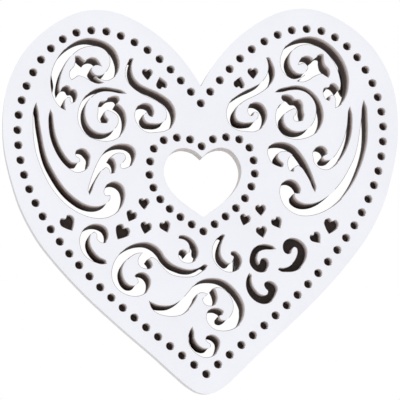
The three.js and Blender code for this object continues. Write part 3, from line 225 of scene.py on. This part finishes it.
def worked_metal(name, light, dark, grain, low, high, scale=260.0):
    """Metal with drawn or turned lines along one direction, and duller patches where it was handled."""
    s = Surface(name, metallic=1.0)
    lines = s.noise(scale, 4.0, 0.0, s.stretched(grain))
    patches = s.noise(90.0, 3.0, 0.4)
    s.colour(s.ramp(s.math("MULTIPLY_ADD", lines, 0.5, s.math("MULTIPLY", patches, 0.5)),
                    [(0.35, dark), (0.62, light)]))
    s.rough(s.math("MULTIPLY_ADD", lines, 0.4, s.math("MULTIPLY", patches, 0.6)), low, high)
    s.bump(lines, 0.15, 0.03 * MM)
    return s.material


def cast_zinc():
    """Die-cast zinc: sandy skin with faint cloudy oxide."""
    s = Surface("cast_zinc", metallic=0.9)
    skin = s.noise(1500.0, 4.0)
    cloud = s.noise(70.0, 3.0, 0.8)
    s.colour(s.ramp(cloud, [(0.35, (0.36, 0.37, 0.39)), (0.65, (0.52, 0.53, 0.55))]))
    s.rough(cloud, 0.42, 0.62)
    s.bump(skin, 0.3, 0.06 * MM)
    return s.material


def moulded_nylon():
    """Natural nylon: milky, a little light passes in, faint flow marks."""
    s = Surface("moulded_nylon", roughness=0.42)
    flow = s.noise(160.0, 3.0, 1.5)
    s.colour(s.ramp(flow, [(0.35, (0.76, 0.73, 0.65)), (0.65, (0.86, 0.84, 0.77))]))
    s.rough(flow, 0.36, 0.5)
    s.bump(flow, 0.1, 0.08 * MM)
    return s.material


FACE_WHITE = white_paint("satin_white", (0.845, 0.852, 0.905), (0.815, 0.822, 0.875))
# Darker copy of the face's white paint: painted shade on the outer sides, the rims and the white-painted
# CAD pieces.
SIDE_SHADE_WHITE = white_paint("painted_shade_white", (0.56, 0.555, 0.56), (0.52, 0.515, 0.52))
# Warmer, darker copy of the white paint: painted shade on the wall of the heart opening and inside the
# sleeve and collar.
OPENING_SHADE_WHITE = white_paint("painted_shade_warm_white", (0.69, 0.655, 0.64), (0.62, 0.58, 0.565))
SAWN_AND_SHADE = cut_wall()
BOARD = bare_board("bare_board", (0.175, 0.118, 0.098), (0.085, 0.055, 0.047))
# A near-black copy of the board: painted shade on the faces hidden inside the case.
SHADE_BOARD = bare_board("painted_shade_board", (0.05, 0.034, 0.029), (0.02, 0.013, 0.011))
# A darker brown for the front edges of cut walls that face up and to the right: painted shade.
SHADE_EDGE_BROWN = bare_board("painted_shade_edge", (0.30, 0.235, 0.21), (0.20, 0.15, 0.135))
# Near-black felt: painted shade behind the cuts at the lower right.
SHADE_CLOTH = bare_board("painted_shade_felt", (0.03, 0.021, 0.018), (0.012, 0.008, 0.007))
STEEL = worked_metal("drawn_steel", (0.66, 0.67, 0.69), (0.5, 0.51, 0.53), (1.0, 12.0, 1.0), 0.22, 0.4)
BLUED = worked_metal("spring_steel", (0.36, 0.38, 0.42), (0.22, 0.235, 0.27), (8.0, 8.0, 1.0), 0.18, 0.34)
BRASS = worked_metal("turned_brass", (0.86, 0.66, 0.30), (0.70, 0.50, 0.20), (1.0, 10.0, 1.0), 0.2, 0.38)
ZINC = cast_zinc()
NYLON = moulded_nylon()


# ---------------------------------------------------------------- outlines

def flat_loops(node, level):
    """Outlines of the flat face of a CAD node at y = level, as lists of (x, z) points."""
    bm = bmesh.new()
    bm.from_mesh(frame["nodes"][node].data)
    bmesh.ops.remove_doubles(bm, verts=bm.verts, dist=2e-6)
    flat = {f for f in bm.faces if all(abs(v.co.y - level) < 2e-5 for v in f.verts)}
    ahead = {}
    for face in flat:
        for edge in face.edges:
            if sum(other in flat for other in edge.link_faces) == 1:
                a, b = edge.verts
                ahead.setdefault(a, []).append(b)
                ahead.setdefault(b, []).append(a)
    loops = []
    left = set(ahead)
    for start in sorted(ahead, key=lambda v: v.index):
        if start not in left:
            continue
        loop, previous, current = [], None, start
        while current in left:
            left.discard(current)
            loop.append((current.co.x, current.co.z))
            following = [v for v in ahead[current] if v is not previous and v in left]
            previous, current = current, (following[0] if following else None)
        loops.append(loop)
    bm.free()
    return loops


def area(points):
    total = 0.0
    for (x0, z0), (x1, z1) in zip(points, points[1:] + points[:1]):
        total += x0 * z1 - x1 * z0
    return total / 2


def extent(points):
    xs = [p[0] for p in points]
    zs = [p[1] for p in points]
    return min(xs), min(zs), max(xs), max(zs)


def round_hole(points):
    """(centre, radius) if the points lie on one circle, and otherwise None."""
    cx = sum(p[0] for p in points) / len(points)
    cz = sum(p[1] for p in points) / len(points)
    radii = [math.hypot(x - cx, z - cz) for x, z in points]
    mean = sum(radii) / len(radii)
    if len(points) >= 5 and max(radii) - min(radii) < 0.02 * mean:
        return Vector((cx, cz)), mean
    return None


def smooth(points, spacing):
    """A closed smooth curve through the points, which keeps their sharp corners."""
    found = round_hole(points)
    if found and found[1] < SMALL_CIRCLE:
        centre, radius = found
        count = max(20, int(2 * math.pi * radius / CIRCLE_STEP))
        turn = 2 * math.pi / count
        return [(centre.x + radius * math.cos(k * turn), centre.y + radius * math.sin(k * turn))
                for k in range(count)]
    p = [Vector(q) for q in points]
    n = len(p)
    chord = [(p[(i + 1) % n] - p[i]) for i in range(n)]
    length = [c.length for c in chord]
    unit = [c / l for c, l in zip(chord, length)]
    corner = [unit[i - 1].angle(unit[i]) > CORNER_TURN for i in range(n)]
    slope = [(unit[i - 1] * length[i] + unit[i] * length[i - 1]) / (length[i] + length[i - 1])
             for i in range(n)]
    result = []
    for i in range(n):
        j = (i + 1) % n
        leave = slope[i] if not corner[i] else (unit[i] * 3 - slope[j]) / 2
        arrive = slope[j] if not corner[j] else (unit[i] * 3 - slope[i]) / 2
        if corner[i] and corner[j]:
            leave = arrive = unit[i]
        steps = max(1, round(length[i] / spacing))
        for k in range(steps):
            t = k / steps
            q = (p[i] * (2 * t ** 3 - 3 * t ** 2 + 1) + leave * length[i] * (t ** 3 - 2 * t ** 2 + t)
                 + p[j] * (3 * t ** 2 - 2 * t ** 3) + arrive * length[i] * (t ** 3 - t ** 2))
            result.append((q.x, q.y))
    return result


def grown(points, distance):
    """The outline moved by distance to its left, with its sharp corners limited."""
    n = len(points)
    result = []
    for i in range(n):
        a, b, c = (Vector(points[(i + k) % n]) for k in (-1, 0, 1))
        d0, d1 = (b - a).normalized(), (c - b).normalized()
        normal = Vector((-(d0.y + d1.y), d0.x + d1.x))
        if normal.length < 1e-6:
            normal = Vector((-d0.y, d0.x))
        normal.normalize()
        stretch = max(0.55, normal.dot(Vector((-d0.y, d0.x))))
        q = b + normal * (distance / stretch)
        result.append((q.x, q.y))
    return result


# ---------------------------------------------------------------- boards

def solid_side_left(loops):
    """Turns the widest loop anticlockwise and the others clockwise, so the solid is on their left."""
    widest = max(range(len(loops)), key=lambda i: abs(area(loops[i])))
    turned = []
    for i, loop in enumerate(loops):
        wants = 1 if i == widest else -1
        turned.append(loop if area(loop) * wants > 0 else loop[::-1])
    return turned


def cap_triangles(rings):
    """Triangles, anticlockwise from the front, that fill the solid between an outline and its holes."""
    flat = [Vector((v.co.x, v.co.z)) for ring in rings for v in ring]
    edges, start, outer = [], 0, None
    widest = max(range(len(rings)), key=lambda i: len(rings[i]) and abs(
        area([(v.co.x, v.co.z) for v in rings[i]])))
    for index, ring in enumerate(rings):
        if index == widest:
            outer = (start, start + 1)
        edges += [(start + i, start + (i + 1) % len(ring)) for i in range(len(ring))]
        start += len(ring)
    points, links, faces, of_point, of_link, _ = geometry.delaunay_2d_cdt(flat, edges, [], 0, 1e-9)
    wall = {frozenset(link) for link, source in zip(links, of_link) if source}
    beside = {}
    for number, face in enumerate(faces):
        for i in range(3):
            beside.setdefault(frozenset((face[i - 1], face[i])), []).append(number)
    name_of = {i: source[0] for i, source in enumerate(of_point) if source}
    place_of = {source: i for i, source in name_of.items()}
    ends = (place_of[outer[0]], place_of[outer[1]])
    seed = [n for n in beside[frozenset(ends)]
            if any((faces[n][i - 1], faces[n][i]) == ends for i in range(3))]
    reached, queue = set(seed), list(seed)
    while queue:
        face = faces[queue.pop()]
        for i in range(3):
            side = frozenset((face[i - 1], face[i]))
            if side not in wall:
                for n in beside[side]:
                    if n not in reached:
                        reached.add(n)
                        queue.append(n)
    return [[name_of[i] for i in faces[n]] for n in sorted(reached)
            if all(i in name_of for i in faces[n])]


def board(name, loops, front, back, ease=0.35 * MM, rear_ease=0.2 * MM, wall_of=None, materials=(),
          caps=(PAINT, INNER_SHADE), lean_of=None, shade_side=None):
    """A flat board between two levels, with eased edges. Each loop's wall takes its own slot and lean.

    The last argument is the slot for the front edge of a cut where its wall faces up and to the right: a
    darker brown painted there as shade.
    """
    loops = solid_side_left(loops)
    profile = [(ease, front), (ease * 0.29, front + ease * 0.29), (0.0, front + ease)]
    profile += [(0.0, back - rear_ease), (rear_ease * 0.29, back - rear_ease * 0.29), (rear_ease, back)]
    bm = bmesh.new()
    rings = []
    for loop in loops:
        (x0, z0), (x1, z1) = lean_of(loop) if lean_of else ((0.0, 0.0), (0.0, 0.0))
        ring = []
        for inset, y in profile:
            t = (y - front) / (back - front)
            dx, dz = x0 + (x1 - x0) * t, z0 + (z1 - z0) * t
            ring.append([bm.verts.new((x + dx, y, z + dz))
                         for x, z in (grown(loop, inset) if inset else loop)])
        rings.append(ring)
    for index, ring in enumerate(rings):
        slot = wall_of(index, loops[index]) if wall_of else PAINT
        count = len(ring[0])
        for k in range(len(profile) - 1):
            for i in range(count):
                j = (i + 1) % count
                face = bm.faces.new((ring[k][i], ring[k + 1][i], ring[k + 1][j], ring[k][j]))
                face.material_index = slot if k >= 2 else caps[0]
                (ax, az), (bx, bz) = loops[index][i], loops[index][j]
                # Painted shade: the eased front edge of a cut wall that faces up and to the right takes the
                # darker brown.
                if shade_side is not None and k < 2 and slot == WALL and bz - az - (bx - ax) > 0:
                    face.material_index = shade_side
                face.smooth = True
    for which, flip, slot in ((0, False, caps[0]), (len(profile) - 1, True, caps[1])):
        verts = [v for ring in rings for v in ring[which]]
        for used in cap_triangles([ring[which] for ring in rings]):
            triangle = [verts[i] for i in used]
            face = bm.faces.new(triangle[::-1] if flip else triangle)
            face.material_index = slot
            face.smooth = False
    for ring in rings:
        for which in (0, len(profile) - 1):
            count = len(ring[which])
            for i in range(count):
                edge = bm.edges.get((ring[which][i], ring[which][(i + 1) % count]))
                if edge:
                    edge.smooth = False
    mesh = bpy.data.meshes.new(name)
    bm.to_mesh(mesh)
    bm.free()
    mesh.set_sharp_from_angle(angle=math.radians(42))
    return piece(name, mesh, materials)


def piece(name, mesh, materials, body="case"):
    made = bpy.data.objects.new(name, mesh)
    bpy.context.scene.collection.objects.link(made)
    for material in materials:
        mesh.materials.append(material)
    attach(made, body)
    return made


def lathe(name, profile, at, sides, material, body="case"):
    """A round piece about the y axis through at = (x, z), from (radius, y) points, ends on the axis."""
    bm = bmesh.new()
    rings = []
    for radius, y in profile:
        if radius < 1e-7:
            rings.append([bm.verts.new((at[0], y, at[1]))])
            continue
        rings.append([
            bm.verts.new((at[0] + radius * math.cos(2 * math.pi * k / sides), y,
                          at[1] + radius * math.sin(2 * math.pi * k / sides)))
            for k in range(sides)
        ])
    for low, high in zip(rings, rings[1:]):
        for k in range(sides):
            j = (k + 1) % sides
            corners = [low[k % len(low)], low[j % len(low)], high[j % len(high)], high[k % len(high)]]
            unique = list(dict.fromkeys(corners))
            if len(unique) > 2:
                bm.faces.new(unique).smooth = True
    bmesh.ops.recalc_face_normals(bm, faces=bm.faces)
    mesh = bpy.data.meshes.new(name)
    bm.to_mesh(mesh)
    bm.free()
    mesh.set_sharp_from_angle(angle=math.radians(38))
    return piece(name, mesh, [material], body)


# The pattern of the front, smoothed once and shared with the core behind it.
front_low, front_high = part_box("front_panel")
front_raw = flat_loops("front_panel", front_low.y)
front_loops = [smooth(loop, FINE_STEP if abs(area(loop)) < FINE_AREA else COARSE_STEP)
               for loop in front_raw]


def is_heart_opening(loop):
    x0, z0, x1, z1 = extent(loop)
    return abs(x0 + x1) < 1 * MM and 40 * MM < x1 - x0 < 80 * MM and abs(area(loop)) > OPENING_AREA


def front_wall(index, loop):
    if abs(area(loop)) > OUTLINE_AREA:
        return SIDE
    return OPENING if is_heart_opening(loop) else WALL


def front_lean(loop):
    straight = abs(area(loop)) > OUTLINE_AREA or is_heart_opening(loop)
    return (STRAIGHT, STRAIGHT) if straight else (STRAIGHT, LEAN_PANEL)


# The front board's outer side and opening wall take darker painted-shade whites, and its back takes the
# near-black painted-shade board.
front_board = board("front_board", front_loops, front_low.y, front_high.y, wall_of=front_wall,
                    lean_of=front_lean, shade_side=SHADE_EDGE,
                    materials=[FACE_WHITE, SAWN_AND_SHADE, SHADE_BOARD, SIDE_SHADE_WHITE, OPENING_SHADE_WHITE, SHADE_EDGE_BROWN])
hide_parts("front_panel")


def matching(loop, candidates):
    """(the smooth outline with the extent of a coarser one, True), or (the coarser one smoothed, False)."""
    box = extent(loop)
    best = min(candidates, key=lambda c: max(abs(a - b) for a, b in zip(extent(c), box)))
    if max(abs(a - b) for a, b in zip(extent(best), box)) < SAME_CUT:
        return best, True
    return smooth(loop, COARSE_STEP), False


core_low, core_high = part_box("front_core")
core_loops, leaning = [], []
for raw_loop in flat_loops("front_core", core_low.y):
    outline, is_scroll = matching(raw_loop, front_loops)
    core_loops.append(outline)
    if is_scroll:
        leaning.append(extent(outline))


def core_lean(loop):
    return (LEAN_PANEL, LEAN_CORE) if extent(loop) in leaning else (STRAIGHT, STRAIGHT)


# Both faces of the core lie inside the case and take the near-black painted-shade board.
core_board = board("core_board", core_loops, core_low.y, core_high.y, ease=0.1 * MM,
                   wall_of=lambda index, loop: WALL, caps=(INNER_SHADE, INNER_SHADE), lean_of=core_lean,
                   materials=[FACE_WHITE, SAWN_AND_SHADE, SHADE_BOARD])
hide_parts("front_core")

# A near-black cloth in the gap between panel and core, behind the cuts at the lower right: a dark sheet
# that stands in for shade there.
CLOTH_CORNERS = [(26.8, -126.2), (50.0, -126.2), (75.2, -101.0), (75.2, -70.5), (42.0, -70.5),
                 (42.0, -84.0), (26.8, -84.0)]                     # mm, in the plane of the front
cloth_loop = [(x * MM, z * MM) for x, z in CLOTH_CORNERS]
shade_cloth = board("shade_cloth", [cloth_loop], front_high.y + CLOTH_CLEARANCE,
                   core_low.y - CLOTH_CLEARANCE,
                   ease=0.02 * MM, rear_ease=0.02 * MM, wall_of=lambda index, loop: 0, caps=(0, 0),
                   materials=[SHADE_CLOTH])


def band(name, node, outside, inside, rim, ease=0.3 * MM):
    """A rim that follows the heart, with its own material outside, inside and on its two edges."""
    low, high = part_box(node)
    loops = [smooth(loop, COARSE_STEP) for loop in flat_loops(node, low.y)]
    widest = max(abs(area(loop)) for loop in loops)
    made = board(name, loops, low.y, high.y, ease=ease, rear_ease=ease, caps=(2, 2),
                 wall_of=lambda index, loop: 0 if abs(area(loop)) > 0.999 * widest else 1,
                 materials=[outside, inside, rim])
    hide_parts(node)
    return made


# The cover rim's inside and the sleeve's outside take the near-black painted shade. The rims' white is a
# darker painted-shade copy.
band("cover_band", "cover_rim", SIDE_SHADE_WHITE, SHADE_BOARD, SIDE_SHADE_WHITE)
band("heart_wall", "heart_sleeve", SHADE_BOARD, OPENING_SHADE_WHITE, OPENING_SHADE_WHITE)
band("tray_band", "tray_rim", SIDE_SHADE_WHITE, BOARD, SIDE_SHADE_WHITE)

rear_low, rear_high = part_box("back_panel")
rear_loops = [smooth(loop, COARSE_STEP) for loop in flat_loops("back_panel", rear_high.y)]
rear_board = board("rear_board", rear_loops, rear_low.y, rear_high.y, wall_of=lambda index, loop: WALL,
                   caps=(0, 0), materials=[BOARD, BOARD, BOARD])
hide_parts("back_panel")

# Collar: a wall round the opening with a flange at its front, one turned section along the heart.
collar_low, collar_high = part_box("heart_collar")
collar_back = [smooth(loop, COLLAR_STEP) for loop in flat_loops("heart_collar", collar_high.y)]
collar_front = [smooth(loop, COLLAR_STEP) for loop in flat_loops("heart_collar", collar_low.y)]
# The flange takes the near-black painted-shade board and the wall takes the warm painted-shade white.
flange = board("collar_flange", collar_front, collar_low.y, collar_low.y + 2.2 * MM, ease=0.2 * MM,
               caps=(0, 0), wall_of=lambda index, loop: 0, materials=[SHADE_BOARD])
tube = board("collar_wall", collar_back, collar_low.y + 2.3 * MM, collar_high.y, ease=0.1 * MM,
             caps=(0, 0), wall_of=lambda index, loop: 0, materials=[OPENING_SHADE_WHITE])
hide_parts("heart_collar")


# ---------------------------------------------------------------- fittings on the back

def pan_screw(node, head_height, shank_share, cross):
    """A pan-head screw with a cross recess. Its head is at the back, so its top faces +y."""
    low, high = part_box(node)
    centre = ((low.x + high.x) / 2, (low.z + high.z) / 2)
    head = (high.x - low.x) / 2
    shank = head * shank_share
    seat = high.y - head_height
    made = lathe(node + "_turned", [
        (0.0, high.y - 0.02 * MM), (head * 0.45, high.y - 0.05 * MM),
        (head * 0.78, high.y - head_height * 0.2),
        (head * 0.95, high.y - head_height * 0.52), (head, high.y - head_height * 0.8), (head, seat),
        (shank, seat), (shank, low.y + shank * 0.9), (0.0, low.y),
    ], centre, 32, STEEL)
    cutter_mesh = bpy.data.meshes.new(node + "_recess")
    bm = bmesh.new()
    for turn in (0.0, math.pi / 2):
        matrix = (Matrix.Translation((centre[0], high.y, centre[1]))
                  @ Matrix.Rotation(turn + cross, 4, "Y")
                  @ Matrix.Diagonal((head * 1.05, head_height * 0.95, head * 0.26, 1.0)))
        bmesh.ops.create_cube(bm, size=1.0, matrix=matrix)
    bm.to_mesh(cutter_mesh)
    bm.free()
    cutter = bpy.data.objects.new(node + "_recess", cutter_mesh)
    bpy.context.scene.collection.objects.link(cutter)
    boolean = made.modifiers.new("recess", "BOOLEAN")
    boolean.object = cutter
    boolean.operation = "DIFFERENCE"
    boolean.solver = "EXACT"
    boolean.use_self = True
    settled = bpy.data.meshes.new_from_object(made.evaluated_get(bpy.context.evaluated_depsgraph_get()))
    made.modifiers.clear()
    made.data = settled
    settled.set_sharp_from_angle(angle=math.radians(38))
    bpy.data.objects.remove(cutter)
    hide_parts(node)


for number in range(1, 6):
    pan_screw(f"case_screw_{number}", 1.6 * MM, 0.5, 0.3 + 0.9 * number)
for number in range(1, 4):
    pan_screw(f"movement_screw_{number}", 1.4 * MM, 0.5, 0.7 * number)
for number in range(1, 3):
    pan_screw(f"hanger_screw_{number}", 1.2 * MM, 0.48, 0.5 * number)


def pressed_plate(name, node, material, ease):
    low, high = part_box(node)
    loops = [smooth(loop, PLATE_STEP) for loop in flat_loops(node, low.y)]
    made = board(name, loops, low.y, high.y, ease=ease, rear_ease=ease, caps=(0, 0),
                 wall_of=lambda index, loop: 0, materials=[material])
    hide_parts(node)
    return made


pressed_plate("keyhole_plate", "hanger_plate", STEEL, 0.25 * MM)
pressed_plate("movement_bed", "bedplate", ZINC, 0.3 * MM)

# ---------------------------------------------------------------- other CAD pieces

# White-painted pieces take the darker copy of the white paint, which is painted shade.
KEEP = {
    "steel": STEEL, "spring_steel": BLUED, "brass": BRASS, "zinc": ZINC, "nylon": NYLON,
    "raw_board": BOARD, "white_paint": SIDE_SHADE_WHITE,
}
SLOT_OF = {part["node"]: part["material_slot"] for part in frame["record"]["subparts"]}
for name, node in frame["nodes"].items():
    if node.hide_render:
        continue
    node.data.materials.clear()
    node.data.materials.append(KEEP[SLOT_OF[name]])
    weld = node.modifiers.new("weld", "WELD")
    weld.merge_threshold = 1e-6
    bevel = node.modifiers.new("eased edges", "BEVEL")
    bevel.width = 0.08 * MM
    bevel.segments = 2
    bevel.limit_method = "ANGLE"
    bevel.angle_limit = math.radians(35)
    bevel.harden_normals = True
    node.data.polygons.foreach_set("use_smooth", [True] * len(node.data.polygons))


# ---------------------------------------------------------------- stage, light and camera

scene = bpy.context.scene
scene.view_settings.view_transform = "Standard"

world = bpy.data.worlds.new("studio")
world.use_nodes = True
world.node_tree.nodes["Background"].inputs["Color"].default_value = (1.0, 1.0, 1.0, 1.0)
world.node_tree.nodes["Background"].inputs["Strength"].default_value = 1.0
scene.world = world

floor_mesh = bpy.data.meshes.new("floor")
half = 3.0
level = cad_box[0].z - 0.6          # well below the heart, which hangs on a wall
floor_corners = [(-half, -half, level), (half, -half, level), (half, half, level), (-half, half, level)]
floor_mesh.from_pydata(floor_corners, [], [(0, 1, 2, 3)])
floor = bpy.data.objects.new("floor", floor_mesh)
scene.collection.objects.link(floor)
paper = Surface("pale_paper", roughness=0.9)
paper.colour(paper.ramp(paper.noise(12.0, 3.0), [(0.3, (0.90, 0.90, 0.90)), (0.7, (0.92, 0.92, 0.92))]))
paper.shader.inputs["Emission Color"].default_value = (1.0, 1.0, 1.0, 1.0)
paper.shader.inputs["Emission Strength"].default_value = 0.15
floor_mesh.materials.append(paper.material)


def softbox(name, place, target, size, power):
    lamp = bpy.data.lights.new(name, "AREA")
    lamp.shape = "SQUARE"
    lamp.size = size
    lamp.energy = power
    made = bpy.data.objects.new(name, lamp)
    scene.collection.objects.link(made)
    made.location = place
    made.rotation_euler = (Vector(target) - Vector(place)).to_track_quat("-Z", "Y").to_euler()


softbox("key", (-0.7, -1.3, 0.9), (0.0, 0.0, -0.05), 0.9, 1.2)

EYE = Vector((-0.17, -1.85, -0.22))
AIM = Vector((-0.002, -0.05, -0.0601))
ROLL = math.radians(-1.15)          # the heart appears turned a little anticlockwise
SENSOR_WIDTH = 36.0
LENS = 260.5
camera = bpy.data.cameras.new("camera")
camera.sensor_width = SENSOR_WIDTH
camera.lens = LENS
eye = bpy.data.objects.new("camera", camera)
scene.collection.objects.link(eye)
eye.location = EYE
aimed = (AIM - EYE).to_track_quat("-Z", "Y").to_matrix()
eye.rotation_euler = (aimed @ Matrix.Rotation(ROLL, 3, "Z")).to_euler()
scene.camera = eye
